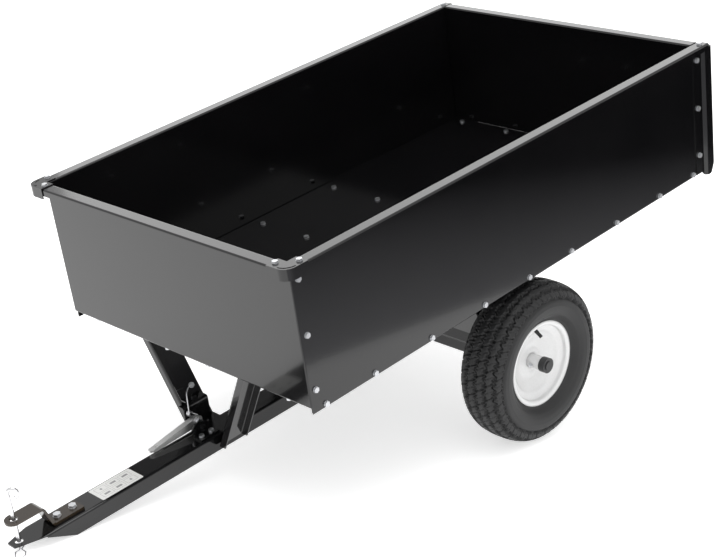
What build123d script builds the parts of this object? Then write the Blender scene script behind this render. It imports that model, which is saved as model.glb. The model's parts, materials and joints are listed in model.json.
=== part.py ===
from build123d import *
import math
import os

# Tow-behind dump cart, in millimetres.
# The pieces are drawn with the tray level: X forward, Y to the cart's left, Z up, and the
# origin on the axle's axis at mid width.  At the end everything is pitched nose-down until
# the wheels and the drawbar's front corner stand on Z = 0, as the cart rests unhitched.

# ---- tray -------------------------------------------------------------------------------
TRAY_LENGTH = 1210.0        # front rim to the rear ends of the side panels
TRAY_WIDTH = 740.0          # over the side rims
AXLE_SETBACK = 616.0        # front rim to the axle
RIM_TOP = 478.0             # rims above the axle
FLOOR_UNDER = 197.0         # floor's underside above the axle
SKIRT = 16.0                # the side panels reach this far below the floor
SHEET = 1.6
RIM_REACH = 25.0            # rim beyond the wall's outer face
RIM_LIP = 14.0
BEND = 2.0                  # inside radius of the sheet bends
WRAP = 28.0                 # front panel's flange along each side panel
HEM = 12.0                  # side panel's bottom hem
FOOT = 12.0                 # front panel's flange under the floor
FRONT_GAP = 2.4             # floor and side panels stop this far behind the front wall
CAP_SHEET = 2.0
CAP_LEG = 48.0
CAP_DROP = 22.0
CAP_CORNER = 22.0
# ---- rear posts and tailgate ------------------------------------------------------------
GATE_SETBACK = 28.0         # tailgate's wall ahead of the side panels' rear ends
GATE_PLAY = 1.8             # each side, between tailgate and side panels
POST_SHEET = 2.0
POST_FRONT = 24.0           # post's flange ahead of the side panel's rear end
POST_DEPTH = 31.0           # post's track behind the side panel's rear end
POST_JOGGLE = 8.0
POST_RETURN = 28.0
POST_DROP = 6.0             # below the side panels
# ---- under-frame ------------------------------------------------------------------------
RAIL_X = 109.0
RAIL_WIDTH = 44.0
RAIL_DEPTH = 22.0
RAIL_SHEET = 2.5
RAIL_INSET = 17.0           # rails stop this far inside the side panels
END_RAIL_INSET = 45.0       # rear rail's centre ahead of the side panels' rear ends
STAND_SHEET = 3.0
STAND_INNER = 62.0
STAND_OUTER = 256.0
STAND_SHOULDER = 40.0
STAND_STEP = 15.0
STAND_BOTTOM = -19.0
STAND_HALF = 34.0
STAND_BOX = 26.0
PIVOT_PLATE = 4.0
# ---- axle and wheels --------------------------------------------------------------------
AXLE_DIA = 19.0
RUNNING = 0.08              # radial running clearance on the axle
TRACK_HALF = 326.0
TYRE_DIA = 332.0
TYRE_WIDTH = 106.0
RIM_HALF = 35.0             # rim's half width over the flanges
RIM_DIA = 179.0
RIM_SHEET = 2.0
HUB_DIA = 28.0
HUB_BORE = 23.0
HUB_INNER = 38.0
HUB_OUTER = 40.0
FLANGE_THICK = 2.0
SPLIT_PIN_R = 1.1
CAP_STEP_R = 9.5            # hub cap's raised middle
PIN_OUT = 3.1               # split pin's distance out from the washer's inner face
# ---- drawbar ----------------------------------------------------------------------------
BAR_WIDTH = 59.0
BAR_DEPTH = 33.0
BAR_WALL = 3.0
BAR_CORNER = 5.0
BAR_TOP = 14.2              # web's top above the axle's centre
BAR_PITCH = 0.75            # degrees, nose up against the tray
BAR_TAIL = 32.0             # behind the axle
BAR_FRONT = 970.0           # where the nose begins to narrow
NOSE_LENGTH = 58.0
NOSE_TIP = 22.0
NOSE_CUT = 58.0             # slanted cut of the side flanges
HITCH_X = 1011.0
HITCH_HOLE = 16.0
HITCH_GAP = 41.5
STRAP_WIDTH = 34.0
STRAP_THICK = 5.0
STRAP_REAR = 878.0
STRAP_BEND = 944.0
STRAP_KNEE = 960.0
STRAP_BOLTS = (893.0, 927.0)
PIN_DIA = 8.0
PIN_DROP = 12.0
PIN_LOOP = 9.0
PIN_HEAD = 98.0             # loop's centre above the web's top
CLIP_DIA = 2.6
# ---- legs and latch ---------------------------------------------------------------------
LEG_FRONT = 40.0            # behind the front rim
LEG_WIDTH = 58.0
LEG_SHEET = 2.5
LEG_FLANGE = 17.0
LEG_SLOPE = 28.0            # degrees from upright
LEG_FOOT = 36.0
LEG_LINE_Z = -4.0           # height where the legs' inner faces reach the drawbar's sides
LEFT_LEG_END = 1.0
RIGHT_LEG_END = 23.0
LEG_GAP = 0.8               # between the leg and the drawbar's side
SADDLE_GAP = 0.6
BRACKET_SHEET = 3.0
BRACKET_STEP = 68.0
LEVER_PIVOT_X = 575.0
LEVER_PIVOT_Z = 37.0
LEVER_SHEET = 2.5
LEVER_INNER = 21.0
LEVER_OUTER = 34.0
LEVER_REACH = 112.0
STUD_DIA = 8.0
STUD_X = 568.0
STUD_Z = 4.0
# ---- fasteners --------------------------------------------------------------------------
BOLT = 6.0
BOLT_HEAD = 10.0            # across flats
BOLT_HIGH = 4.0
NUT_HIGH = 5.0
HOLE_PLAY = 0.3
BIG_BOLT = 8.0
BIG_HEAD = 13.0
BIG_HIGH = 5.5
SIDE_BOLT_STEPS = (0.0, 132.5, 282.5, 433.0, 556.5)
PANEL_BOLT_PITCH = 107.0
FLOOR_BOLT_INSET = 37.0
REST_X0 = 562.0             # catch plate beside the latch, along the drawbar
REST_X1 = 606.0
REST_THICK = 4.0

# ---- worked-out places ------------------------------------------------------------------
FRONT = AXLE_SETBACK
REAR = FRONT - TRAY_LENGTH
HALF = TRAY_WIDTH / 2
WALL_X = FRONT - RIM_REACH
WALL_Y = HALF - RIM_REACH
SIDE_BOTTOM = FLOOR_UNDER - SKIRT
SIDE_MIDDLE = (WALL_X + REAR) / 2
GATE_X = REAR + GATE_SETBACK
END_RAIL_X = REAR + END_RAIL_INSET
SIDE_BOLT_Z = FLOOR_UNDER - SKIRT / 2
BAR_HALF = BAR_WIDTH / 2
RAIL_REACH = WALL_Y - RAIL_INSET
FLOOR_BOLT_Y = (WALL_Y / 2 - 2.5, WALL_Y - FLOOR_BOLT_INSET)
TYRE_R = TYRE_DIA / 2
SLOPE = math.tan(math.radians(LEG_SLOPE))
AXLE_END = TRACK_HALF + HUB_OUTER + FLANGE_THICK + 5.0
WASHER_Y = TRACK_HALF + HUB_OUTER + FLANGE_THICK + 0.4
LEG_X1 = FRONT - LEG_FRONT
LEG_X0 = LEG_X1 - LEG_WIDTH
SIDES = {"left": 1, "right": -1}


# ---- small tools ------------------------------------------------------------------------
def outline(*points):
    """A closed flat outline of (u, v) or (u, v, radius) corners."""
    corners = [(p[0], p[1], p[2] if len(p) > 2 else 0.0) for p in points]
    edges = []
    ends = []
    for i, (u, v, r) in enumerate(corners):
        here = Vector(u, v)
        back = (Vector(*corners[i - 1][:2]) - here).normalized()
        ahead = (Vector(*corners[(i + 1) % len(corners)][:2]) - here).normalized()
        if r == 0.0:
            ends.append((here, here, None))
            continue
        half = math.radians(back.get_angle(ahead)) / 2
        cut = r / math.tan(half)
        middle = here + (back + ahead).normalized() * (r / math.sin(half) - r)
        ends.append((here + back * cut, here + ahead * cut, middle))
    for i, (start, end, middle) in enumerate(ends):
        if middle is not None:
            edges.append(Edge.make_three_point_arc(start, middle, end))
        following = ends[(i + 1) % len(ends)][0]
        if (following - end).length > 1e-6:
            edges.append(Edge.make_line(end, following))
    return Face(Wire(edges))


def strip(path, thick, bend=BEND):
    """The section of a bent sheet: path runs along its middle, square to every bend."""
    left = []
    right = []
    last = len(path) - 1
    for i, (u, v) in enumerate(path):
        here = Vector(u, v)
        before = (here - Vector(*path[i - 1])).normalized() if i > 0 else None
        after = (Vector(*path[i + 1]) - here).normalized() if i < last else None
        if before is None or after is None:
            along = after if before is None else before
            side = Vector(-along.Y, along.X) * (thick / 2)
            left.append((here.X + side.X, here.Y + side.Y))
            right.append((here.X - side.X, here.Y - side.Y))
            continue
        turn = before.X * after.Y - before.Y * after.X
        mitre = Vector(-before.Y - after.Y, before.X + after.X).normalized()
        reach = thick / 2 / (mitre.X * -before.Y + mitre.Y * before.X)
        outer = bend + thick
        radii = (bend, outer) if turn > 0 else (outer, bend)
        left.append((here.X + mitre.X * reach, here.Y + mitre.Y * reach, radii[0]))
        right.append((here.X - mitre.X * reach, here.Y - mitre.Y * reach, radii[1]))
    return outline(*left, *reversed(right))


def along_x(face, x0, x1):
    """A (y, z) face made solid from x0 to x1."""
    base = Plane((x0, 0, 0), x_dir=(0, 1, 0), z_dir=(1, 0, 0))
    return extrude(base * face, x1 - x0, dir=(1, 0, 0))


def along_y(face, y0, y1):
    """An (x, z) face made solid from y0 to y1."""
    base = Plane((0, y0, 0), x_dir=(1, 0, 0), z_dir=(0, -1, 0))
    return extrude(base * face, y1 - y0, dir=(0, 1, 0))


def along_z(face, z0, z1):
    """An (x, y) face made solid from z0 to z1."""
    return extrude(Plane((0, 0, z0)) * face, z1 - z0, dir=(0, 0, 1))


def block(x0, x1, y0, y1, z0, z1):
    middle = Pos((x0 + x1) / 2, (y0 + y1) / 2, (z0 + z1) / 2)
    return middle * Box(abs(x1 - x0), abs(y1 - y0), abs(z1 - z0))


def rod(start, end, radius):
    start = Vector(*start)
    way = Vector(*end) - start
    base = Align.CENTER, Align.CENTER, Align.MIN
    return Plane(start, z_dir=way) * Cylinder(radius, way.length, align=base)


def tube(start, end, outer, inner):
    return rod(start, end, outer) - rod(start, end, inner)


def hex_prism(seat, way, flats, high):
    profile = RegularPolygon(flats / math.sqrt(3), 6)
    return extrude(Plane(seat, z_dir=way) * profile, high)


def bolt(seat, way, grip, size=BOLT, flats=BOLT_HEAD, high=BOLT_HIGH):
    """A hex bolt whose head sits on seat and whose shank runs along way."""
    seat, way = Vector(*seat), Vector(*way).normalized()
    washer = rod(seat, seat - way * 1.0, flats * 0.58)
    head = hex_prism(seat - way * 1.0, way * -1, flats, high - 1.0)
    return rod(seat, seat + way * grip, size / 2) + washer + head


def nut(seat, way, size=BOLT, flats=BOLT_HEAD, high=NUT_HIGH):
    seat, way = Vector(*seat), Vector(*way).normalized()
    bore = rod(seat - way, seat + way * (high + 1), size / 2 + 0.05)
    return hex_prism(seat, way, flats, high) - bore


def pair(seat, way, stack, size=BOLT, flats=BOLT_HEAD, high=BOLT_HIGH):
    """A bolt and its nut with a stack of sheets between head and nut."""
    seat, way = Vector(*seat), Vector(*way).normalized()
    far = seat + way * stack
    shank = stack + NUT_HIGH + 1.5
    return bolt(seat, way, shank, size, flats, high), nut(far, way, size, flats, high + 1)


def drill(shape, seats, way, size=BOLT, deep=30.0):
    """Clearance holes through the seats, along way."""
    way = Vector(*way).normalized()
    for seat in seats:
        middle = Vector(*seat)
        hole = rod(middle - way * deep / 2, middle + way * deep / 2, size / 2 + HOLE_PLAY)
        shape = shape - hole
    return shape


def wire(path, radius, bends):
    """Round wire along straight runs joined by arcs."""
    spine = FilletPolyline(*path, radius=bends)
    start = spine @ 0
    return sweep(Plane(start, z_dir=spine % 0) * Circle(radius), path=spine)


def mirrored(shape, side):
    return shape if side > 0 else shape.mirror(Plane.XZ)


# ---- where the fasteners sit ------------------------------------------------------------
def both_signs(values):
    return sorted({sign * value for value in values for sign in (1, -1)})


def side_bolt_seats(side):
    return [(SIDE_MIDDLE + s, side * WALL_Y, SIDE_BOLT_Z) for s in both_signs(SIDE_BOLT_STEPS)]


def wrap_seats(side):
    top = RIM_TOP - 36.0
    x = WALL_X - WRAP / 2 - 2.0
    return [(x, side * (WALL_Y + SHEET), top - i * PANEL_BOLT_PITCH) for i in range(3)]


def post_seats(side):
    top = RIM_TOP - 37.0
    x = REAR + POST_FRONT * 0.55
    return [(x, side * (WALL_Y + POST_SHEET), top - i * PANEL_BOLT_PITCH) for i in range(3)]


def cap_seats(side):
    inset = RIM_REACH / 2
    top = RIM_TOP + CAP_SHEET
    front_rim = (FRONT - inset, side * (HALF - CAP_LEG + 8.0), top)
    side_rim = (FRONT - CAP_LEG + 8.0, side * (HALF - inset + 2.0), top)
    return [front_rim, side_rim]


def post_tab_seat(side):
    return (REAR + 16.0, side * (HALF - RIM_REACH / 2), RIM_TOP)


def rail_seats(x):
    return [(x, y, FLOOR_UNDER + SHEET) for y in both_signs(FLOOR_BOLT_Y)]


def leg_foot_seats(side):
    y = leg_face(side, FLOOR_UNDER) + side * LEG_FOOT * 0.55
    return [(LEG_X0 + 14.0, y, FLOOR_UNDER + SHEET), (LEG_X1 - 14.0, y, FLOOR_UNDER + SHEET)]


def front_flange_seats():
    return [(WALL_X - 8.6, y, FLOOR_UNDER + SHEET) for y in both_signs((60.0, WALL_Y - 65.0))]


def leg_face(side, z):
    """Y of a leg's inner face at height z."""
    return side * (BAR_HALF + LEG_GAP + (z - LEG_LINE_Z) * SLOPE)


# ---- tray -------------------------------------------------------------------------------
def front_panel():
    t = SHEET / 2
    x, top = WALL_X - t, RIM_TOP - t
    under = FLOOR_UNDER - t
    lip = top - RIM_LIP + t
    path = [(x - FOOT, under), (x, under), (x, top), (FRONT - t, top), (FRONT - t, lip)]
    wall = along_y(strip(path, SHEET), -WALL_Y, WALL_Y)
    for side in SIDES.values():
        near, far = side * (WALL_Y - 9), side * (WALL_Y + 1)
        wall = wall - block(x - FOOT - 1, WALL_X - SHEET, near, far, under - 2, under + 5)
    for side in SIDES.values():
        y = side * (WALL_Y + t)
        wrap_path = [(WALL_X - WRAP, y), (x, y), (x, y - side * 12)]
        wrap = along_z(strip(wrap_path, SHEET), FLOOR_UNDER + 1.0, RIM_TOP - RIM_LIP - 3.0)
        wall = wall + wrap
        wall = drill(wall, wrap_seats(side), (0, 1, 0))
        wall = drill(wall, cap_seats(side)[:1], (0, 0, 1))
    return drill(wall, front_flange_seats(), (0, 0, 1))


def side_panel(side):
    t = SHEET / 2
    y, top, bottom = WALL_Y - t, RIM_TOP - t, SIDE_BOTTOM + t
    path = [(y - HEM, bottom), (y, bottom), (y, top), (HALF - t, top), (HALF - t, top - RIM_LIP + t)]
    panel = along_x(strip(path, SHEET), REAR, WALL_X - SHEET - FRONT_GAP)
    near, far = WALL_Y - HEM - 3, WALL_Y - SHEET
    relief = block(WALL_X - WRAP, WALL_X, near, far, SIDE_BOTTOM - 1, SIDE_BOTTOM + 4)
    panel = mirrored(panel - relief, side)
    panel = drill(panel, side_bolt_seats(side) + wrap_seats(side) + post_seats(side), (0, 1, 0))
    return drill(panel, cap_seats(side)[1:] + [post_tab_seat(side)], (0, 0, 1))


def floor_panel():
    t = SHEET / 2
    y, level = WALL_Y - SHEET - t, FLOOR_UNDER + t
    drop = SKIRT - SHEET - BEND + 0.5
    path = [(-y, level - drop), (-y, level), (y, level), (y, level - drop)]
    pan = along_x(strip(path, SHEET), REAR, WALL_X - SHEET - FRONT_GAP)
    seats = front_flange_seats()
    for x in (RAIL_X, -RAIL_X, END_RAIL_X):
        seats += rail_seats(x)
    for side in SIDES.values():
        pan = drill(pan, side_bolt_seats(side), (0, 1, 0))
        seats += leg_foot_seats(side)
    return drill(pan, seats, (0, 0, 1))


def corner_cap(side):
    out, gap = CAP_SHEET, 0.2
    low, top = RIM_TOP - CAP_DROP + out, RIM_TOP + out
    x0, y0 = FRONT - CAP_LEG, HALF - CAP_LEG
    shell = along_z(outline((x0, y0), (FRONT + out, y0), (FRONT + out, HALF + out, CAP_CORNER),
                            (x0, HALF + out)), low, top)
    room = along_z(outline((x0 - 9, y0 - 9), (FRONT + gap, y0 - 9),
                           (FRONT + gap, HALF + gap, CAP_CORNER - out), (x0 - 9, HALF + gap)),
                   low - 1, RIM_TOP)
    inside = block(x0 - 9, WALL_X - SHEET, y0 - 9, WALL_Y - SHEET, low - 1, top + 1)
    ridge_out = CAP_CORNER + 12.0
    middle = (FRONT + out - CAP_CORNER - 4, HALF + out - CAP_CORNER - 4, 0)
    foot = (middle[0], middle[1], RIM_TOP + 0.5)
    head = (middle[0], middle[1], top + 0.9)
    ring = tube(foot, head, ridge_out - 12, ridge_out - 15)
    ridge = ring & block(middle[0], FRONT, middle[1], HALF, RIM_TOP, top + 2)
    cap = mirrored(shell - room - inside + ridge, side)
    return drill(cap, cap_seats(side), (0, 0, 1))


def rear_post(side):
    t = POST_SHEET / 2
    y0 = WALL_Y + t
    y1 = y0 + POST_JOGGLE
    back = REAR - POST_DEPTH
    path = [(REAR + POST_FRONT, y0), (REAR - 3, y0), (REAR - 9, y1), (back + t, y1),
            (back + t, y1 - POST_RETURN)]
    low, high = SIDE_BOTTOM - POST_DROP, RIM_TOP - RIM_LIP - 2.0
    post = along_z(strip(path, POST_SHEET, 1.0), low, high)
    round_cut = outline((REAR + POST_FRONT + 5, low - 5), (REAR + POST_FRONT + 5, high + 30),
                        (back - 5, high + 30), (back - 5, low + 24), (back + 1, low + 24),
                        (back + 12, low, 9), (REAR - 4, low), (REAR + 4, low + 9, 6),
                        (REAR + POST_FRONT, low + 9), (REAR + POST_FRONT, low - 5))
    post = post & along_y(round_cut, 0, HALF + 50)
    under = RIM_TOP - SHEET
    tab_path = [(y0, high - 12), (y0, under - t), (HALF - 4, under - t)]
    tab = along_x(strip(tab_path, POST_SHEET, 1.0), REAR + 4, REAR + POST_FRONT)
    post = mirrored(post + tab, side)
    post = drill(post, post_seats(side), (0, 1, 0))
    return drill(post, [post_tab_seat(side)], (0, 0, 1))


def floor_rail(x):
    t = RAIL_SHEET / 2
    half = RAIL_WIDTH / 2 - t
    top = FLOOR_UNDER - t
    low = top - RAIL_DEPTH + t
    path = [(x - half, low), (x - half, top), (x + half, top), (x + half, low)]
    rail = along_y(strip(path, RAIL_SHEET), -RAIL_REACH, RAIL_REACH)
    return drill(rail, rail_seats(x), (0, 0, 1))


def axle_stand(side):
    t = STAND_SHEET / 2
    wall = RAIL_X - RAIL_WIDTH / 2 - t
    top = FLOOR_UNDER - RAIL_SHEET - 4
    half = [(wall, top), (wall, FLOOR_UNDER - RAIL_DEPTH - 6), (STAND_HALF - t, STAND_SHOULDER),
            (STAND_HALF - t, STAND_STEP), (STAND_BOX - t, STAND_STEP - 8),
            (STAND_BOX - t, STAND_BOTTOM + t)]
    path = half + [(-u, v) for u, v in reversed(half)]
    stand = along_y(strip(path, STAND_SHEET), STAND_INNER, STAND_OUTER)
    return mirrored(stand, side)


def pivot_plates():
    inside = STAND_BOX - STAND_SHEET
    plates = []
    for near in (STAND_INNER + 2, STAND_OUTER - 2 - PIVOT_PLATE):
        half = [(inside, STAND_BOTTOM + STAND_SHEET, 3), (inside, STAND_STEP - 6.8),
                (STAND_HALF - STAND_SHEET, STAND_STEP + 1.2),
                (STAND_HALF - STAND_SHEET, STAND_SHOULDER - 3, 6)]
        face = outline(*half, *[(-p[0], *p[1:]) for p in reversed(half)])
        plate = along_y(face, near, near + PIVOT_PLATE)
        plate = plate - rod((0, near - 1, 0), (0, near + PIVOT_PLATE + 1, 0), AXLE_DIA / 2 + RUNNING)
        plates += [plate, plate.mirror(Plane.XZ)]
    return plates


# ---- tailgate ---------------------------------------------------------------------------
def tailgate():
    t = SHEET / 2
    half = WALL_Y - SHEET - GATE_PLAY
    x, top = GATE_X - t, RIM_TOP - t
    low = FLOOR_UNDER + SHEET + 0.5
    lip = x - RIM_REACH + SHEET
    path = [(x, low), (x, top), (lip, top), (lip, top - RIM_LIP + t)]
    gate = along_y(strip(path, SHEET), -half, half)
    deep = REAR - POST_DEPTH + POST_SHEET + 2.4 + t
    out = WALL_Y + POST_JOGGLE - GATE_PLAY - t
    edge_path = [(x, half - 16), (x, half - t), (deep, half - t), (deep, out), (deep + 13, out)]
    edge = along_z(strip(edge_path, SHEET, 1.2), low, RIM_TOP - RIM_LIP - 6)
    return gate + edge + edge.mirror(Plane.XZ)


# ---- legs and latch ---------------------------------------------------------------------
def leg(side):
    t = LEG_SHEET / 2
    end = LEFT_LEG_END if side > 0 else RIGHT_LEG_END
    profile = strip([(0, LEG_FLANGE), (0, t), (LEG_WIDTH - LEG_SHEET, t),
                     (LEG_WIDTH - LEG_SHEET, LEG_FLANGE)], LEG_SHEET)
    lean = math.radians(LEG_SLOPE)
    start = Vector(LEG_X0 + t, leg_face(1, LEG_LINE_Z - 30), LEG_LINE_Z - 30)
    up = Vector(0, math.sin(lean), math.cos(lean))
    section = Plane(start, x_dir=(1, 0, 0), z_dir=up) * profile
    channel = extrude(section, (FLOOR_UNDER + 40) / math.cos(lean) + 40, dir=up)
    channel = channel & block(LEG_X0 - 5, LEG_X1 + 5, 0, 300, end, FLOOR_UNDER - LEG_SHEET)
    y = leg_face(1, FLOOR_UNDER)
    foot = block(LEG_X0, LEG_X1, y - 6, y + LEG_FOOT, FLOOR_UNDER - LEG_SHEET, FLOOR_UNDER)
    toe_face = outline((y, end + 14), (leg_face(1, end) + 9, end - 8), (y, end - 8))
    toe = along_x(toe_face, LEG_X0 - 5, LEG_X1 + 5)
    piece = mirrored(channel - toe + foot, side)
    if side < 0:
        piece = drill(piece, [bracket_bolt_seat()], bracket_normal())
    return drill(piece, leg_foot_seats(side), (0, 0, 1))


def leg_saddle():
    t = BRACKET_SHEET / 2
    low = bar_top(LEG_X1) + SADDLE_GAP + t
    off = t / math.cos(math.radians(LEG_SLOPE)) + 0.1
    path = []
    for side in (-1, 1):
        arm = [(leg_face(side, z) - side * off, z) for z in (low, low + 22)]
        path += list(reversed(arm)) if side < 0 else arm
    return along_x(strip(path, BRACKET_SHEET), LEG_X0 + 4, LEG_X0 + 42)


def bracket_normal():
    lean = math.radians(LEG_SLOPE)
    return (0, -math.cos(lean), -math.sin(lean))


def bracket_bolt_seat():
    z = BRACKET_STEP + 14
    lean = math.radians(LEG_SLOPE)
    y = leg_face(-1, z) + BRACKET_SHEET * math.cos(lean)
    return (LEG_X0 + 20, y, z + BRACKET_SHEET * math.sin(lean))


def latch_bracket():
    t = BRACKET_SHEET / 2
    off = t / math.cos(math.radians(LEG_SLOPE))
    on_leg = [(leg_face(-1, z) + off, z) for z in (BRACKET_STEP + 26, BRACKET_STEP)]
    y = -(LEVER_OUTER + 1.0 + 2.0 + t)
    path = on_leg + [(y, BRACKET_STEP), (y, LEVER_PIVOT_Z - 10)]
    plate = along_x(strip(path, BRACKET_SHEET), LEG_X0 + 12, LEVER_PIVOT_X + 17)
    near, far = leg_face(-1, 140), y - 12
    plate = plate - block(LEG_X1 - 3, LEVER_PIVOT_X + 20, near, far, BRACKET_STEP - 5, BRACKET_STEP + 60)
    plate = drill(plate, [bracket_bolt_seat()], bracket_normal(), deep=16.0)
    plate = drill(plate, [(LEVER_PIVOT_X, y, LEVER_PIVOT_Z)], (0, 1, 0), BIG_BOLT, deep=12.0)
    x, z = LEVER_PIVOT_X + 9, BRACKET_STEP - 11
    return plate + rod((x, y + t, z), (x, -23, z), 2.4)


def latch_spring():
    x, z = LEVER_PIVOT_X + 9, BRACKET_STEP - 11
    coil = tube((x, -35.5, z), (x, -24.5, z), 5.6, 2.6)
    upper = wire([(x + 4.2, -27, z), (x + 2, -27, z + 20), (x - 6, -36, z + 42),
                  (x - 34, -60, z + 38), (x - 38, -62, z + 31)], 1.4, 4.0)
    lower = wire([(x - 4.2, -31, z), (x - 10, -28, z - 6.4), (x - 13, -22, z - 7)], 1.3, 2.0)
    return coil + upper + lower


def pivot_bolt_seat():
    return (LEVER_PIVOT_X, -(LEVER_INNER - 0.6), LEVER_PIVOT_Z)


def latch_lever():
    x, z = LEVER_PIVOT_X, LEVER_PIVOT_Z
    tip = x + LEVER_REACH
    arm = outline((x - 12, z - 8, 6), (x - 12, z + 9, 6), (x + 8, z + 9), (tip, z - 5), (tip, z - 11),
                  (x + 10, z - 9, 8))
    hook = outline((x - 10, z + 2), (x + 10, z + 2), (x + 12, z - 30), (x + 8, STUD_Z - 10, 5),
                   (STUD_X + STUD_DIA / 2 + 0.6, STUD_Z - 10, 1), (STUD_X + STUD_DIA / 2 + 0.6, STUD_Z + 7, 4),
                   (x - 4, z - 16, 6))
    inner = along_y(arm, -LEVER_INNER - LEVER_SHEET, -LEVER_INNER)
    outer = along_y(arm, -LEVER_OUTER, -LEVER_OUTER + LEVER_SHEET)
    outer = outer + along_y(hook, -LEVER_OUTER, -LEVER_OUTER + LEVER_SHEET)
    slope = math.atan2(14, LEVER_REACH - 8)
    run = (LEVER_REACH - 8) / math.cos(slope)
    plate = block(-8, run - 14, -LEVER_OUTER, -LEVER_INNER, -LEVER_SHEET, 0)
    crown = Pos(x + 8, 0, z + 9) * Rot(0, math.degrees(slope), 0) * plate
    pad_face = outline((tip - 26, -LEVER_OUTER), (tip + 6, -LEVER_OUTER, 6), (tip + 6, -LEVER_INNER, 6),
                       (tip - 26, -LEVER_INNER))
    pad = along_z(pad_face, z - 9, z - 5)
    lever = inner + outer + crown + pad
    bore = rod((x, -LEVER_OUTER - 1, z), (x, -LEVER_INNER + 1, z), BIG_BOLT / 2 + RUNNING)
    return lever - bore


# ---- drawbar, in its own line: X along the bar, Z square to its web ------------------------
def bar_top(x):
    """Height of the web's top at a level-frame X."""
    return BAR_TOP + x * math.tan(math.radians(BAR_PITCH))


def in_bar_line(shape):
    return Rot(0, -BAR_PITCH, 0) * shape


def stud_seat():
    """Stud's centre height, written in the bar's own line."""
    return (STUD_X, STUD_Z - STUD_X * math.tan(math.radians(BAR_PITCH)))


def tongue():
    bottom = BAR_TOP - BAR_DEPTH
    skin = outline((-BAR_HALF, bottom), (-BAR_HALF, BAR_TOP, BAR_CORNER), (BAR_HALF, BAR_TOP, BAR_CORNER),
                   (BAR_HALF, bottom))
    inner = BAR_HALF - BAR_WALL
    hollow = outline((-inner, bottom - 1), (-inner, BAR_TOP - BAR_WALL, 2), (inner, BAR_TOP - BAR_WALL, 2),
                     (inner, bottom - 1))
    end = BAR_FRONT + NOSE_LENGTH
    bar = along_x(skin, -BAR_TAIL, end) - along_x(hollow, -BAR_TAIL - 1, end + 1)
    high = BAR_TOP - BAR_WALL - 2.5
    cut = outline((BAR_FRONT - NOSE_CUT, bottom), (BAR_FRONT, high), (end + 2, high),
                  (end + 2, bottom - 5), (BAR_FRONT - NOSE_CUT, bottom - 5))
    bar = bar - along_y(cut, -BAR_WIDTH, BAR_WIDTH)
    plan = outline((-BAR_TAIL, -BAR_HALF), (BAR_FRONT, -BAR_HALF, 6), (end, -NOSE_TIP / 2, 2),
                   (end, NOSE_TIP / 2, 2), (BAR_FRONT, BAR_HALF, 6), (-BAR_TAIL, BAR_HALF))
    bar = bar & along_z(plan, bottom - 1, BAR_TOP + 1)
    bar = bar - block(BAR_FRONT, end + 1, -BAR_HALF, BAR_HALF, bottom, BAR_TOP - BAR_WALL)
    bar = bar - rod((0, -BAR_WIDTH, 0), (0, BAR_WIDTH, 0), AXLE_DIA / 2 + RUNNING)
    bar = drill(bar, [(HITCH_X, 0, BAR_TOP)], (0, 0, 1), HITCH_HOLE - 2 * HOLE_PLAY, deep=12.0)
    bar = drill(bar, [(x, 0, BAR_TOP) for x in STRAP_BOLTS], (0, 0, 1), BIG_BOLT, deep=12.0)
    bar = drill(bar, rest_seats(), (0, 0, 1), deep=16.0)
    x, z = stud_seat()
    bar = bar - rod((x, -BAR_WIDTH, z), (x, 0, z), STUD_DIA / 2)
    return in_bar_line(bar)


def hitch_strap():
    t = STRAP_THICK / 2
    low = BAR_TOP + t
    high = BAR_TOP + HITCH_GAP + t
    nose = HITCH_X + STRAP_WIDTH / 2
    path = [(STRAP_REAR, low), (STRAP_BEND, low), (STRAP_KNEE, high), (nose, high)]
    strap = along_y(strip(path, STRAP_THICK, 4.0), -STRAP_WIDTH / 2, STRAP_WIDTH / 2)
    half = STRAP_WIDTH / 2
    plan = outline((STRAP_REAR, -half, 3), (nose, -half, half - 0.1), (nose, half, half - 0.1),
                   (STRAP_REAR, half, 3))
    strap = strap & along_z(plan, BAR_TOP, high + STRAP_THICK)
    strap = drill(strap, [(HITCH_X, 0, high)], (0, 0, 1), HITCH_HOLE - 2 * HOLE_PLAY, deep=12.0)
    strap = drill(strap, [(x, 0, low) for x in STRAP_BOLTS], (0, 0, 1), BIG_BOLT, deep=12.0)
    return in_bar_line(strap)


def strap_fasteners():
    bolts, nuts = [], []
    for x in STRAP_BOLTS:
        seat, stack = (x, 0, BAR_TOP + STRAP_THICK), STRAP_THICK + BAR_WALL
        made = pair(seat, (0, 0, -1), stack, BIG_BOLT, BIG_HEAD, BIG_HIGH)
        bolts.append(in_bar_line(made[0]))
        nuts.append(in_bar_line(made[1]))
    return bolts, nuts


def rest_seats():
    return [(REST_X0 + 10, 12, BAR_TOP + REST_THICK), (REST_X1 - 10, 12, BAR_TOP + REST_THICK)]


def rest_bracket():
    t = REST_THICK / 2
    path = [(-t, BAR_TOP + 27), (-t, BAR_TOP + t), (22, BAR_TOP + t)]
    plate = along_x(strip(path, REST_THICK), REST_X0, REST_X1)
    face = outline((REST_X0, BAR_TOP), (REST_X0, BAR_TOP + 20, 7), (REST_X1 - 8, BAR_TOP + 27, 5),
                   (REST_X1, BAR_TOP + 18), (REST_X1, BAR_TOP))
    plate = plate & along_y(face, -5, 30)
    return in_bar_line(drill(plate, rest_seats(), (0, 0, 1), deep=12.0))


def rest_bolts():
    made = [pair(seat, (0, 0, -1), REST_THICK + BAR_WALL) for seat in rest_seats()]
    return [in_bar_line(piece) for fastener in made for piece in fastener]


def catch_stud():
    x, z = stud_seat()
    head = rod((x, -LEVER_OUTER - 4.5, z), (x, -LEVER_OUTER - 1.5, z), 7.0)
    shank = rod((x, -LEVER_OUTER - 1.5, z), (x, -BAR_HALF + BAR_WALL, z), STUD_DIA / 2)
    shoulder = rod((x, -BAR_HALF + BAR_WALL, z), (x, -BAR_HALF + BAR_WALL + 4, z), 6.5)
    return in_bar_line(head + shank + shoulder)


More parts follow.
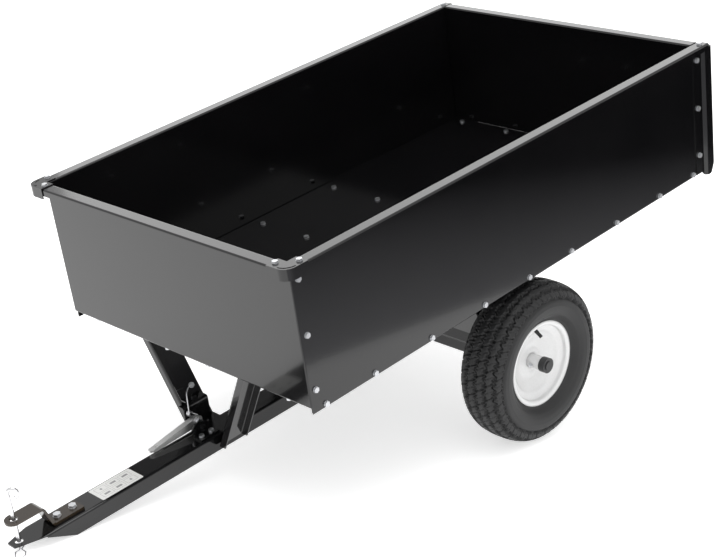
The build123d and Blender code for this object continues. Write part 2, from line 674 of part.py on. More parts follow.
def pin_path():
    """Level height of the pin's lower end and loop, in the bar's own line."""
    low = BAR_TOP - BAR_WALL - PIN_DROP
    return low, BAR_TOP + PIN_HEAD


def hitch_pin():
    low, head = pin_path()
    turn = math.radians(135)
    away = Vector(math.cos(turn), math.sin(turn), 0)
    up = Vector(0, 0, 1)
    centre = Vector(HITCH_X, 0, head) + away * PIN_LOOP
    over = centre + up * PIN_LOOP
    angle = math.radians(-65)
    half_way = centre + (away * math.cos(angle / 2) + up * math.sin(angle / 2)) * PIN_LOOP
    end = centre + (away * math.cos(angle) + up * math.sin(angle)) * PIN_LOOP
    right = centre + away * PIN_LOOP
    spine = (Edge.make_line(Vector(HITCH_X, 0, low), Vector(HITCH_X, 0, head))
             + Edge.make_three_point_arc(Vector(HITCH_X, 0, head), over, right)
             + Edge.make_three_point_arc(right, half_way, end))
    shaft = sweep(Plane((HITCH_X, 0, low)) * Circle(PIN_DIA / 2), path=Wire(spine.edges()))
    z = low + PIN_DROP / 2
    way = clip_way()
    hole = rod(Vector(HITCH_X, 0, z) - way * 10, Vector(HITCH_X, 0, z) + way * 10, CLIP_DIA / 2 + 0.2)
    return in_bar_line(shaft - hole)


def clip_way():
    return Vector(0.6, 0.8, 0)


def pin_clip():
    low, _ = pin_path()
    z = low + PIN_DROP / 2
    way = clip_way()
    across = Vector(-way.Y, way.X, 0)
    hub = Vector(HITCH_X, 0, z)
    clear = PIN_DIA / 2 + CLIP_DIA / 2 + 0.5
    marks = [(-11, 0), (15, 0), (21, -7), (35, -7), (41, 2), (35, 11), (25, 11), (14, 3.5),
             (6, clear + 1), (-6, clear), (-11, clear + 4)]
    points = [hub + way * u + across * v for u, v in marks]
    return in_bar_line(wire(points, CLIP_DIA / 2, 2.5))


# ---- axle and wheels ----------------------------------------------------------------------
def axle():
    bar = rod((0, -AXLE_END, 0), (0, AXLE_END, 0), AXLE_DIA / 2)
    for side in SIDES.values():
        y = side * (WASHER_Y + PIN_OUT)
        bar = bar - rod((0, y, -AXLE_DIA), (0, y, AXLE_DIA), SPLIT_PIN_R + 0.05)
    return bar


def axle_spacers():
    bore = AXLE_DIA / 2 + 0.02
    wheel_face = TRACK_HALF - HUB_INNER - FLANGE_THICK - 0.4
    stretches = ((BAR_HALF + 0.1, STAND_INNER + 1.6), (STAND_OUTER - 1.6, wheel_face))
    made = []
    for near, far in stretches:
        sleeve = tube((0, near, 0), (0, far, 0), 13.0, bore)
        made += [sleeve, sleeve.mirror(Plane.XZ)]
    return made


def axle_washers():
    washer = tube((0, WASHER_Y, 0), (0, WASHER_Y + 1.8, 0), 13.0, AXLE_DIA / 2 + 0.02)
    y = WASHER_Y + PIN_OUT
    pin = rod((0, y, -11.5), (0, y, 11.5), SPLIT_PIN_R)
    return [washer, pin, washer.mirror(Plane.XZ), pin.mirror(Plane.XZ)]


def turned(face):
    """A (distance out from the wheel's middle, radius) section turned about the axle."""
    flat = Plane((0, TRACK_HALF, 0), x_dir=(0, 1, 0), z_dir=(1, 0, 0)) * face
    return revolve(flat, Axis((0, 0, 0), (0, 1, 0)), 360)


def tyre(side):
    seat = RIM_DIA / 2 - 8.5
    wide = TYRE_WIDTH / 2
    half = [(RIM_HALF - 9, seat), (RIM_HALF - 2, seat, 2.5), (RIM_HALF - 2, seat + 10, 3),
            (wide - 5, seat + 26, 12), (wide, TYRE_R - 42, 14), (wide - 4, TYRE_R - 17, 6),
            (wide - 14, TYRE_R - 4, 8), (wide - 30, TYRE_R)]
    inner = [(wide - 34, TYRE_R - 10), (wide - 18, TYRE_R - 13, 10), (wide - 8, TYRE_R - 42, 18),
             (wide - 12, seat + 30, 14), (RIM_HALF - 9, seat + 12, 3)]
    face = outline(*half, *[(-p[0], *p[1:]) for p in reversed(half)],
                   *[(-p[0], *p[1:]) for p in reversed(inner)], *inner)
    return mirrored(turned(face), side)


def rim_half(side, out):
    """One pressed half: flange, bead seat, well and dished disc; out is 1 for the outer half."""
    t = RIM_SHEET / 2
    top = RIM_DIA / 2
    path = [(RIM_HALF - t, top), (RIM_HALF - t, top - 9.5), (RIM_HALF - 11, top - 9.5),
            (RIM_HALF - 15, top - 20), (14, top - 22), (9, 50), (t + 0.01, 42),
            (t + 0.01, HUB_DIA / 2 + 0.02)]
    if out < 0:
        path = [(-u, v) for u, v in path]
    half = mirrored(turned(strip(path, RIM_SHEET, 1.5)), side)
    if out > 0:
        base, way = valve_base(side)
        half = half - rod(base - way * 7, base + way * 9, 4.2)
    return half


def hub(side):
    out = tube((0, TRACK_HALF - HUB_INNER, 0), (0, TRACK_HALF + HUB_OUTER, 0), HUB_DIA / 2, HUB_BORE / 2)
    out = out - rod((HUB_BORE / 2 - 2, TRACK_HALF + 18, 0), (HUB_DIA, TRACK_HALF + 18, 0), 2.0)
    return mirrored(out, side)


def bushings(side):
    bore = AXLE_DIA / 2 + RUNNING
    made = []
    for end, way in ((TRACK_HALF + HUB_OUTER, 1), (TRACK_HALF - HUB_INNER, -1)):
        sleeve = tube((0, end - way * 16, 0), (0, end, 0), HUB_BORE / 2, bore)
        flange = tube((0, end, 0), (0, end + way * FLANGE_THICK, 0), HUB_DIA / 2 - 0.6, bore)
        made.append(mirrored(sleeve + flange, side))
    return made


def hub_cap(side):
    end = TRACK_HALF + HUB_OUTER
    front = end + FLANGE_THICK + 8.4
    skin = rod((0, end - 4, 0), (0, front, 0), HUB_DIA / 2 + 1.6)
    skin = skin + rod((0, front - 1, 0), (0, front + 2, 0), CAP_STEP_R)
    room = rod((0, end - 5, 0), (0, end + 0.1, 0), HUB_DIA / 2 + 0.05)
    room = room + rod((0, end, 0), (0, front - 1.6, 0), HUB_DIA / 2 - 0.4)
    return mirrored(skin - room, side)


def valve_base(side):
    lean = math.radians(38)
    base = Vector(0, side * (TRACK_HALF + RIM_HALF - 13), RIM_DIA / 2 - 15)
    return base, Vector(0, side * math.cos(lean), -math.sin(lean))


def valve_stem(side):
    base, way = valve_base(side)
    foot = rod(base - way * 7.0, base - way * 5.0, 4.0)
    barrel = rod(base - way * 5.0, base + way * 10, 4.0)
    cap = rod(base + way * 10, base + way * 21, 3.6)
    return foot + barrel + cap


def grease_nipple(side):
    y = TRACK_HALF + 18
    stem = rod((HUB_BORE / 2 + 0.3, y, 0), (HUB_DIA / 2 + 5, y, 0), 1.9)
    collar = hex_prism(Vector(HUB_DIA / 2 + 0.3, y, 0), Vector(1, 0, 0), 7.0, 3.0)
    ball = Pos(HUB_DIA / 2 + 6.4, y, 0) * Sphere(2.6)
    return mirrored(stem + collar + ball, side)


# ---- fastener groups ------------------------------------------------------------------------
def group(pairs):
    bolts, nuts = zip(*pairs)
    return list(bolts), list(nuts)


def side_fasteners():
    made = []
    for side in SIDES.values():
        made += [pair(seat, (0, -side, 0), 2 * SHEET) for seat in side_bolt_seats(side)]
    return group(made)


def panel_fasteners():
    made = []
    flush = []
    for side in SIDES.values():
        made += [pair(seat, (0, -side, 0), 2 * SHEET) for seat in wrap_seats(side)]
        made += [pair(seat, (0, 0, -1), SHEET + CAP_SHEET) for seat in cap_seats(side)]
        made.append(pair(post_tab_seat(side), (0, 0, -1), SHEET + POST_SHEET))
        flush += [bolt(seat, (0, -side, 0), SHEET + POST_SHEET) for seat in post_seats(side)]
    bolts, nuts = group(made)
    return bolts + flush, nuts


def floor_fasteners():
    made = []
    for x in (RAIL_X, -RAIL_X, END_RAIL_X):
        made += [pair(seat, (0, 0, -1), SHEET + RAIL_SHEET) for seat in rail_seats(x)]
    for side in SIDES.values():
        made += [pair(seat, (0, 0, -1), SHEET + LEG_SHEET) for seat in leg_foot_seats(side)]
    made += [pair(seat, (0, 0, -1), 2 * SHEET) for seat in front_flange_seats()]
    return group(made)


def latch_fasteners():
    y = LEVER_OUTER - LEVER_INNER + 0.6 + 1.0 + 2.0 + BRACKET_SHEET
    pivot = pair(pivot_bolt_seat(), (0, -1, 0), y, BIG_BOLT, BIG_HEAD, BIG_HIGH)
    fixing = pair(bracket_bolt_seat(), bracket_normal(), BRACKET_SHEET + LEG_SHEET)
    return list(pivot), list(fixing)


# ---- all pieces -------------------------------------------------------------------------------
def build():
    pieces = {
        "tongue": tongue(), "hitch_strap": hitch_strap(), "rest_bracket": rest_bracket(),
        "rest_bolts": rest_bolts(), "catch_stud": catch_stud(), "axle": axle(),
        "axle_spacers": axle_spacers(), "axle_washers": axle_washers(),
        "front_panel": front_panel(), "floor_panel": floor_panel(),
        "floor_rail_front": floor_rail(RAIL_X), "floor_rail_rear": floor_rail(-RAIL_X),
        "floor_rail_end": floor_rail(END_RAIL_X), "pivot_plates": pivot_plates(),
        "tailgate": tailgate(), "leg_saddle": leg_saddle(), "latch_bracket": latch_bracket(),
        "latch_spring": latch_spring(), "latch_lever": latch_lever(),
        "hitch_pin": hitch_pin(), "pin_clip": pin_clip(),
    }
    pieces["strap_bolts"], pieces["strap_nuts"] = strap_fasteners()
    pieces["side_bolts"], pieces["side_nuts"] = side_fasteners()
    pieces["panel_bolts"], pieces["panel_nuts"] = panel_fasteners()
    pieces["floor_bolts"], pieces["floor_nuts"] = floor_fasteners()
    pieces["lever_pivot_bolt"], pieces["bracket_bolt"] = latch_fasteners()
    for name, side in SIDES.items():
        pieces["side_panel_" + name] = side_panel(side)
        pieces["corner_cap_" + name] = corner_cap(side)
        pieces["rear_post_" + name] = rear_post(side)
        pieces["axle_stand_" + name] = axle_stand(side)
        pieces["leg_" + name] = leg(side)
        pieces["tyre_" + name] = tyre(side)
        pieces["rim_outer_" + name] = rim_half(side, 1)
        pieces["rim_inner_" + name] = rim_half(side, -1)
        pieces["hub_" + name] = hub(side)
        pieces["bushings_" + name] = bushings(side)
        pieces["hub_cap_" + name] = hub_cap(side)
        pieces["valve_stem_" + name] = valve_stem(side)
        pieces["grease_nipple_" + name] = grease_nipple(side)
    return pieces


def rest_pitch():
    """Nose-down angle at which the tyres and the drawbar's front corner share the ground."""
    mark = Pos(BAR_FRONT - NOSE_CUT, 0, BAR_TOP - BAR_DEPTH) * Box(1e-3, 1e-3, 1e-3)
    corner = in_bar_line(mark).center()
    reach = math.hypot(corner.X, corner.Z)
    return math.degrees(math.asin(TYRE_R / reach) - math.atan2(-corner.Z, corner.X))


def whole(piece):
    if isinstance(piece, list):
        return Compound([solid for part in piece for solid in part.solids()])
    solids = piece.solids()
    return solids[0] if len(solids) == 1 else Compound(list(solids))


def main():
    os.makedirs("parts", exist_ok=True)
    pitch = Rot(0, rest_pitch(), 0)
    pieces = {name: pitch * whole(piece) for name, piece in build().items()}
    boxes = [piece.bounding_box() for piece in pieces.values()]
    front = max(box.max.X for box in boxes)
    rear = min(box.min.X for box in boxes)
    place = Pos(-(front + rear) / 2, 0, TYRE_R)
    for name, piece in pieces.items():
        export_step(place * piece, os.path.join("parts", name + ".step"))
    print("pitch", round(rest_pitch(), 6), "axle at", round(-(front + rear) / 2, 6), TYRE_R)


main()
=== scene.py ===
import json
import math

import bpy
import numpy as np
from mathutils import Matrix, Vector


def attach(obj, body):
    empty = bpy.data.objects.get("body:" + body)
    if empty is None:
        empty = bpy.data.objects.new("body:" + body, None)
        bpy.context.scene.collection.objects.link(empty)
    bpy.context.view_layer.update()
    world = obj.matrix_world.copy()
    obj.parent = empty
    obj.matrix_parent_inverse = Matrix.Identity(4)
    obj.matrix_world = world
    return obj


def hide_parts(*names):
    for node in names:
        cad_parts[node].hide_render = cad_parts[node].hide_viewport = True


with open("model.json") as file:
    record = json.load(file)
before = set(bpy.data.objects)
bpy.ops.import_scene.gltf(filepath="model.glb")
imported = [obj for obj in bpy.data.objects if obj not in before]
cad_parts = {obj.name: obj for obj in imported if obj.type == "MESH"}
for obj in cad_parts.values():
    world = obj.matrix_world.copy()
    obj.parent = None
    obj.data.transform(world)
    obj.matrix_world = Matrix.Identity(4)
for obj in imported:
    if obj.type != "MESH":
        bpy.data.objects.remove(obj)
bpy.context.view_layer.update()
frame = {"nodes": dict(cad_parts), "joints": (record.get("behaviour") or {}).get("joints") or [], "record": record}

# Everything below that is "level" is written with the tray level and the origin on the
# axle at mid width: X forward, Y left, Z up, in metres.  LEVEL turns it into the frame.
JOINTS = {joint["name"]: joint for joint in frame["joints"]}
AXLE = Vector(JOINTS["tray_tip"]["pos_m"])
TRAY_UP = Vector(JOINTS["tailgate_lift"]["axis"])
BAR_UP = Vector(JOINTS["hitch_pin_lift"]["axis"])
LEVEL = Matrix.Translation(AXLE) @ Matrix.Rotation(math.atan2(TRAY_UP.x, TRAY_UP.z), 4, "Y")
BAR_LINE = Matrix.Translation(AXLE) @ Matrix.Rotation(math.atan2(BAR_UP.x, BAR_UP.z), 4, "Y")
MM = 0.001


# ---- finishes -----------------------------------------------------------------------------
class Field:
    """A number that changes over a surface; plain arithmetic on it adds the Math nodes."""

    def __init__(self, finish, socket):
        self.finish = finish
        self.socket = socket

    def math(self, operation, other=0.0):
        return self.finish.node("ShaderNodeMath", {"operation": operation}, {0: self, 1: other})

    def __add__(self, other):
        return self.math("ADD", other)

    def __sub__(self, other):
        return self.math("SUBTRACT", other)

    def __mul__(self, other):
        return self.math("MULTIPLY", other)

    def __gt__(self, edge):
        return self.math("GREATER_THAN", edge)

    def __lt__(self, edge):
        return self.math("LESS_THAN", edge)

    def size(self):
        return self.math("ABSOLUTE")


class Finish:
    """One material: a Principled shader and the nodes that feed it."""

    def __init__(self, name, **sockets):
        self.material = bpy.data.materials.new(name)
        self.material.use_nodes = True
        self.tree = self.material.node_tree
        self.shader = self.tree.nodes["Principled BSDF"]
        self.place = self.node("ShaderNodeTexCoord", {}, {}, "Object")
        for socket, value in sockets.items():
            self.shader.inputs[socket.replace("_", " ")].default_value = value

    def node(self, kind, settings, sockets, output=0):
        made = self.tree.nodes.new(kind)
        for name, value in settings.items():
            if name == "stops":
                for stop, (place, colour) in zip(made.color_ramp.elements, value):
                    stop.position = place
                    stop.color = (*colour, 1.0)
            else:
                setattr(made, name, value)
        for name, value in sockets.items():
            if isinstance(value, Field):
                self.tree.links.new(value.socket, made.inputs[name])
            else:
                made.inputs[name].default_value = value
        return Field(self, made.outputs[output])

    def noise(self, scale, detail=3.0, stretch=None, roughness=0.5):
        where = self.place
        if stretch:
            where = self.node("ShaderNodeMapping", {}, {"Vector": where, "Scale": stretch})
        sockets = {"Vector": where, "Scale": scale, "Detail": detail, "Roughness": roughness}
        return self.node("ShaderNodeTexNoise", {}, sockets, "Fac")

    def along(self, axis):
        return self.node("ShaderNodeSeparateXYZ", {}, {0: self.place}, axis)

    def between(self, low, high, share):
        """A colour that runs from low to high."""
        settings = {"stops": ((0.0, low), (1.0, high))}
        return self.node("ShaderNodeValToRGB", settings, {"Fac": share}, "Color")

    def feed(self, socket, value):
        self.tree.links.new(value.socket, self.shader.inputs[socket])

    def relief(self, height, strength, distance):
        sockets = {"Height": height, "Strength": strength, "Distance": distance}
        self.feed("Normal", self.node("ShaderNodeBump", {}, sockets, "Normal"))


def powder_coat(name, low=(0.0025, 0.0025, 0.003), high=(0.007, 0.0067, 0.007), gloss=0.05):
    """Glossy black powder coat: faint orange peel, slow changes of gloss, a little dust."""
    coat = Finish(name, IOR=1.5, Coat_Weight=0.2, Coat_Roughness=0.04, Coat_IOR=1.5)
    patches = coat.noise(7.0, 4.0)
    dust = coat.noise(160.0, 6.0, roughness=0.75)
    coat.feed("Base Color", coat.between(low, high, patches * 0.7 + (dust > 0.66) * 0.5))
    coat.feed("Roughness", patches * 0.07 + dust * 0.03 + gloss)
    coat.relief(coat.noise(420.0, 2.0), 0.05, 0.0004)
    return coat.material


def zinc_plate(name, low=(0.50, 0.51, 0.53), high=(0.86, 0.87, 0.89), grain=(60, 60, 60),
               rough=0.2):
    """Bright plated steel with a cloudy surface; grain stretches its fine scratches."""
    zinc = Finish(name, Metallic=1.0)
    cloud = zinc.noise(90.0, 4.0)
    lines = zinc.noise(30.0, 5.0, stretch=grain, roughness=0.7)
    zinc.feed("Base Color", zinc.between(low, high, cloud * 0.5 + lines * 0.6))
    zinc.feed("Roughness", lines * 0.22 + cloud * 0.1 + rough)
    zinc.relief(lines, 0.12, 0.0002)
    return zinc.material


def white_enamel(name):
    """Pale stove enamel on the wheel discs, with specks in it and a soft gloss."""
    enamel = Finish(name, IOR=1.5, Coat_Weight=0.3, Coat_Roughness=0.1)
    cloud = enamel.noise(14.0, 3.0)
    specks = enamel.noise(300.0, 5.0)
    shade = cloud * 0.6 + specks * 0.5
    enamel.feed("Base Color", enamel.between((0.60, 0.60, 0.60), (0.80, 0.80, 0.80), shade))
    enamel.feed("Roughness", cloud * 0.12 + 0.2)
    enamel.relief(specks, 0.04, 0.0003)
    return enamel.material


def tyre_rubber(name):
    """Dark turf-tyre rubber: cloudy in shade, grained all over."""
    rubber = Finish(name, IOR=1.5)
    cloud = rubber.noise(22.0, 4.0)
    grain = rubber.noise(900.0, 3.0)
    shade = cloud * 0.7 + grain * 0.3
    rubber.feed("Base Color", rubber.between((0.005, 0.0052, 0.0055), (0.019, 0.019, 0.020), shade))
    rubber.feed("Roughness", cloud * 0.18 + grain * 0.1 + 0.38)
    rubber.relief(grain, 0.3, 0.0005)
    return rubber.material


def moulded_black(name, rough=0.35):
    """Black moulded plastic or rubber with a fine texture."""
    plastic = Finish(name, IOR=1.5)
    cloud = plastic.noise(60.0, 3.0)
    grain = plastic.noise(1200.0, 2.0)
    plastic.feed("Base Color", plastic.between((0.010, 0.010, 0.011), (0.026, 0.026, 0.027), cloud))
    plastic.feed("Roughness", cloud * 0.15 + rough)
    plastic.relief(grain, 0.2, 0.0003)
    return plastic.material


def natural_nylon(name):
    """Off-white nylon of the wheel bushings, greased dark in places."""
    nylon = Finish(name, IOR=1.53)
    grease = nylon.noise(70.0, 4.0)
    nylon.feed("Base Color", nylon.between((0.16, 0.15, 0.13), (0.62, 0.60, 0.54), grease))
    nylon.feed("Roughness", grease * 0.2 + 0.3)
    nylon.relief(nylon.noise(500.0), 0.1, 0.0003)
    return nylon.material


COLUMN_STEP, LINE_STEP = 0.29, 0.21         # from the middle to a panel, as shares of the label
FRAME_OUTER = (0.128, 0.172)                # half of a panel's frame, the same way
FRAME_INNER = (0.119, 0.152)
MARK_HALF = (0.045, 0.06)


def printed_label(name, length, width):
    """White sticker with six plain panels, each with a simple grey block in it."""
    label = Finish(name, IOR=1.45, Coat_Weight=0.4, Coat_Roughness=0.15)
    across = label.along("X")
    down = label.along("Y")
    wear = label.noise(120.0, 4.0)
    ink = wear * 0.06
    for column in (-1, 0, 1):
        for line in (-1, 1):
            u = (across - column * length * COLUMN_STEP).size()
            v = (down - line * width * LINE_STEP).size()
            outer = (u < length * FRAME_OUTER[0]) * (v < width * FRAME_OUTER[1])
            inner = (u < length * FRAME_INNER[0]) * (v < width * FRAME_INNER[1])
            longer = 2 - abs(column - line * 0.5)
            mark = (u < length * MARK_HALF[0] * longer) * (v < width * MARK_HALF[1])
            ink = ink + (outer - inner) * 0.45 + mark * 0.7
    label.feed("Base Color", label.between((0.84, 0.84, 0.82), (0.12, 0.12, 0.13), ink))
    label.feed("Roughness", wear * 0.2 + 0.3)
    label.relief(wear, 0.05, 0.0002)
    return label.material


def studio_paper(name, glow):
    """Pale backdrop paper, lit a little from behind so that shadows stay faint."""
    paper = Finish(name, Roughness=0.9, Emission_Strength=glow)
    shade = paper.between((0.90, 0.90, 0.90), (0.93, 0.93, 0.93), paper.noise(3.0))
    light = paper.between((0.96, 0.96, 0.96), (1.0, 1.0, 1.0), paper.noise(2.0))
    paper.feed("Base Color", shade)
    paper.feed("Emission Color", light)
    return paper.material


FINISHES = {
    "black_powder_coat": powder_coat("black_powder_coat"),
    "warm_powder_coat": powder_coat("warm_powder_coat", (0.020, 0.013, 0.007),
                                    (0.050, 0.033, 0.018), 0.1),
    "white_enamel": white_enamel("white_enamel"),
    "tyre_rubber": tyre_rubber("tyre_rubber"),
    "black_plastic": moulded_black("black_plastic"),
    "black_rubber": moulded_black("black_rubber", 0.55),
    "grey_nylon": natural_nylon("grey_nylon"),
    "zinc_plate": zinc_plate("zinc_plate"),
    "bright_steel": zinc_plate("bright_steel", (0.62, 0.62, 0.64), (0.93, 0.93, 0.94),
                               (20, 20, 60), 0.08),
    "spring_steel": zinc_plate("spring_steel", (0.42, 0.42, 0.44), (0.80, 0.80, 0.82),
                               (60, 60, 60), 0.14),
    "lever_zinc": zinc_plate("lever_zinc", (0.66, 0.66, 0.66), (0.96, 0.96, 0.95),
                             (60, 8, 60), 0.36),
    "axle_steel": zinc_plate("axle_steel", (0.30, 0.30, 0.31), (0.62, 0.62, 0.63),
                             (8, 90, 8), 0.28),
}
# Nodes whose look differs from the rest of their material slot.
OWN_FINISH = {"hitch_strap": "warm_powder_coat", "latch_lever": "lever_zinc"}


def dress_cad_nodes():
    slots = {part["node"]: part["material_slot"] for part in frame["record"]["subparts"]}
    for name, node in frame["nodes"].items():
        node.data.materials.clear()
        node.data.materials.append(FINISHES[OWN_FINISH.get(name, slots[name])])


# ---- meshes -------------------------------------------------------------------------------
TURN_STEPS = 144            # points round a turned piece
WIRE_SIDES = 14             # points round a wire


def piece(name, points, faces, slot, body):
    """A new smooth-shaded mesh that rides on a body and wears a slot's finish."""
    mesh = bpy.data.meshes.new(name)
    mesh.from_pydata([tuple(p) for p in points], [], faces)
    mesh.validate()
    mesh.update()
    made = bpy.data.objects.new(name, mesh)
    bpy.context.scene.collection.objects.link(made)
    mesh.materials.append(FINISHES[slot])
    mesh.polygons.foreach_set("use_smooth", [True] * len(mesh.polygons))
    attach(made, body)
    return made


def ring_faces(rings, around):
    """Quads of a closed loop of points carried round a full circle."""
    faces = []
    for i in range(rings):
        a, b = i * around, ((i + 1) % rings) * around
        for j in range(around):
            k = (j + 1) % around
            faces.append((a + j, b + j, b + k, a + k))
    return faces


def rounded(path, radius, steps=5):
    """An open line of (u, v) with its corners rounded."""
    made = [Vector(path[0])]
    for before, here, after in zip(path, path[1:], path[2:]):
        here = Vector(here)
        back = Vector(before) - here
        ahead = Vector(after) - here
        cut = min(radius, back.length * 0.45, ahead.length * 0.45)
        start = here + back.normalized() * cut
        end = here + ahead.normalized() * cut
        for i in range(steps + 1):
            t = i / steps
            made.append(start * (1 - t) ** 2 + here * 2 * t * (1 - t) + end * t ** 2)
    made.append(Vector(path[-1]))
    return made


def thickened(line, thick):
    """A closed loop round an open line."""
    left, right = [], []
    for i, here in enumerate(line):
        along = (line[min(i + 1, len(line) - 1)] - line[max(i - 1, 0)]).normalized()
        side = Vector((-along.y, along.x)) * thick / 2
        left.append(here + side)
        right.append(here - side)
    return left + right[::-1]


def turned(name, loop, body, slot, side):
    """A closed (distance out, radius) loop in mm turned about the wheel's axle."""
    middle = Vector(JOINTS["wheel_%s_spin" % ("left" if side > 0 else "right")]["pos_m"])
    angles = [2 * math.pi * j / TURN_STEPS for j in range(TURN_STEPS)]
    points = [middle + Vector((p.y * math.sin(a), side * p.x, p.y * math.cos(a))) * MM
              for p in loop for a in angles]
    faces = ring_faces(len(loop), TURN_STEPS)
    if side > 0:
        faces = [face[::-1] for face in faces]
    return piece(name, points, faces, slot, body)


def swept(name, path, radius, slot, body):
    """Round wire along a line of points, closed at both ends."""
    path = [Vector(p) for p in path]
    across = None
    points, faces = [], []
    for i, here in enumerate(path):
        along = (path[min(i + 1, len(path) - 1)] - path[max(i - 1, 0)]).normalized()
        if across is None:
            across = along.orthogonal().normalized()
        across = (across - along * across.dot(along)).normalized()
        other = along.cross(across)
        for j in range(WIRE_SIDES):
            angle = 2 * math.pi * j / WIRE_SIDES
            points.append(here + (across * math.cos(angle) + other * math.sin(angle)) * radius)
    for i in range(len(path) - 1):
        a, b = i * WIRE_SIDES, (i + 1) * WIRE_SIDES
        for j in range(WIRE_SIDES):
            k = (j + 1) % WIRE_SIDES
            faces.append((a + j, a + k, b + k, b + j))
    faces.append(tuple(reversed(range(WIRE_SIDES))))
    faces.append(tuple(range(len(points) - WIRE_SIDES, len(points))))
    return piece(name, points, faces, slot, body)


# ---- wheels -------------------------------------------------------------------------------
# Half sections of the tyre, from the crown to the bead and back inside it, as (distance out
# from the wheel's middle, radius) in mm.
TYRE_HALF = ((0.0, 165.8), (12.0, 165.5), (24.0, 164.4), (34.0, 161.6), (41.0, 157.6),
             (46.4, 151.5), (50.0, 143.0), (52.0, 132.0), (52.2, 122.0), (50.4, 111.5),
             (46.0, 103.5), (40.0, 98.0), (35.6, 94.8), (33.4, 91.0), (33.0, 84.0))
TYRE_INSIDE = ((31.0, 82.0), (26.0, 82.4), (26.0, 94.0), (40.0, 110.0), (43.0, 125.0),
               (36.0, 148.0), (18.0, 153.0))
SECTION_CORNER = 9.0        # mm, the rounding of the section's corners
BLOCKS = 34                 # tread blocks round the tyre
BLOCK_STEPS = 18            # points along a block
PITCH = 2 * math.pi * TYRE_HALF[0][1] / BLOCKS      # mm from one block to the next
COLUMN = 22.0               # mm across a column of blocks
COLUMN_WAVE = 3.6           # mm that the columns swing from side to side
BLOCK_SLANT = 0.24          # how far a block leans across its column, in blocks
TREAD_EDGE = 66.0           # mm from the crown to the ends of the shoulder lugs
TREAD_END = TREAD_EDGE + 5  # mm from the crown to the last trace of the pattern
FADE = 10.0                 # mm over which the pattern runs out
GROOVE = 6.0                # mm deep
SIPE_HALF = 1.2             # mm, half the width of the cut across a block
SIPE_DEPTH = 0.45           # of the groove's depth
SIPE_LAND = 3.5             # mm beside the grooves that the cut leaves whole
TREAD_SPAN, TREAD_STEP = 70, 1.25       # mm of section with fine points, and their spacing
WALL_POINTS = 34            # points down the rest of the section
SIDEWALL_RINGS = ((80.0, 0.4, 0.9), (100.0, 0.6, 1.0), (103.0, 0.4, 0.8))  # (place, height, width)


def smoothstep(value, low, high):
    t = np.clip((value - low) / (high - low), 0, 1)
    return t * t * (3 - 2 * t)


def tread_depth(across, around):
    """How far the surface is cut back, for mm from the crown and blocks round the tyre."""
    wavy = across + COLUMN_WAVE * np.sin(4 * np.pi * around)
    column = np.floor(wavy / COLUMN)
    inside = wavy / COLUMN - column
    to_side = np.minimum(inside, 1 - inside) * COLUMN
    slant = BLOCK_SLANT * smoothstep(inside, 0.38, 0.62) - BLOCK_SLANT / 2
    turn = around + 0.5 * np.mod(column, 2) + slant
    turn = turn - np.floor(turn)
    to_end = np.minimum(turn, 1 - turn) * PITCH
    sipe = 1 - SIPE_DEPTH * (np.abs(turn - 0.5) * PITCH < SIPE_HALF) * (to_side > SIPE_LAND)
    lug = smoothstep(to_side, 0.9, 2.3) * smoothstep(to_end, 1.3, 2.9) * sipe
    shoulder = smoothstep(TREAD_EDGE - np.abs(across), 0.0, 1.8)
    fade = smoothstep(TREAD_END - np.abs(across), 0.0, FADE)
    return GROOVE * (1 - lug * shoulder) * fade


def sidewall_rise(across):
    """Fine moulded rings on the sidewall."""
    rise = np.zeros_like(across)
    for place, high, wide in SIDEWALL_RINGS:
        rise += high * np.exp(-((np.abs(across) - place) / wide) ** 2)
    return rise


def tyre(side):
    """The treaded tyre that stands in for the plain one."""
    name = "left" if side > 0 else "right"
    half = rounded(TYRE_HALF, SECTION_CORNER, 3)
    lengths = np.concatenate([[0], np.cumsum([(b - a).length for a, b in zip(half, half[1:])])])
    stops = np.concatenate([np.arange(0, TREAD_SPAN, TREAD_STEP),
                            np.linspace(TREAD_SPAN, lengths[-1], WALL_POINTS)])
    out = np.interp(stops, lengths, [p.x for p in half])
    high = np.interp(stops, lengths, [p.y for p in half])
    across = np.concatenate([-stops[:0:-1], stops])
    out = np.concatenate([-out[:0:-1], out])
    high = np.concatenate([high[:0:-1], high])
    slope = np.stack([np.gradient(out, across), np.gradient(high, across)])
    slope /= np.linalg.norm(slope, axis=0)
    normal = np.stack([-slope[1], slope[0]])
    around = BLOCKS * BLOCK_STEPS
    turns = np.arange(around) / BLOCK_STEPS
    sink = tread_depth(across[:, None], turns[None, :]) - sidewall_rise(across)[:, None]
    reach = out[:, None] - normal[0][:, None] * sink
    radius = high[:, None] - normal[1][:, None] * sink
    inside = [Vector(p) for p in TYRE_INSIDE]
    inside += [Vector((-p[0], p[1])) for p in reversed(TYRE_INSIDE)]
    reach = np.concatenate([reach, [[p.x] * around for p in inside]])
    radius = np.concatenate([radius, [[p.y] * around for p in inside]])
    angle = 2 * np.pi * turns / BLOCKS
    middle = JOINTS["wheel_%s_spin" % name]["pos_m"]
    points = np.stack([middle[0] + radius * np.sin(angle) * MM,
                       middle[1] + side * reach * MM,
                       middle[2] + radius * np.cos(angle) * MM], axis=-1).reshape(-1, 3)
    faces = ring_faces(len(reach), around)
    if side < 0:
        faces = [face[::-1] for face in faces]
    made = piece("turf_tyre_" + name, points, faces, "tyre_rubber", "wheel_" + name)
    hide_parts("tyre_" + name)


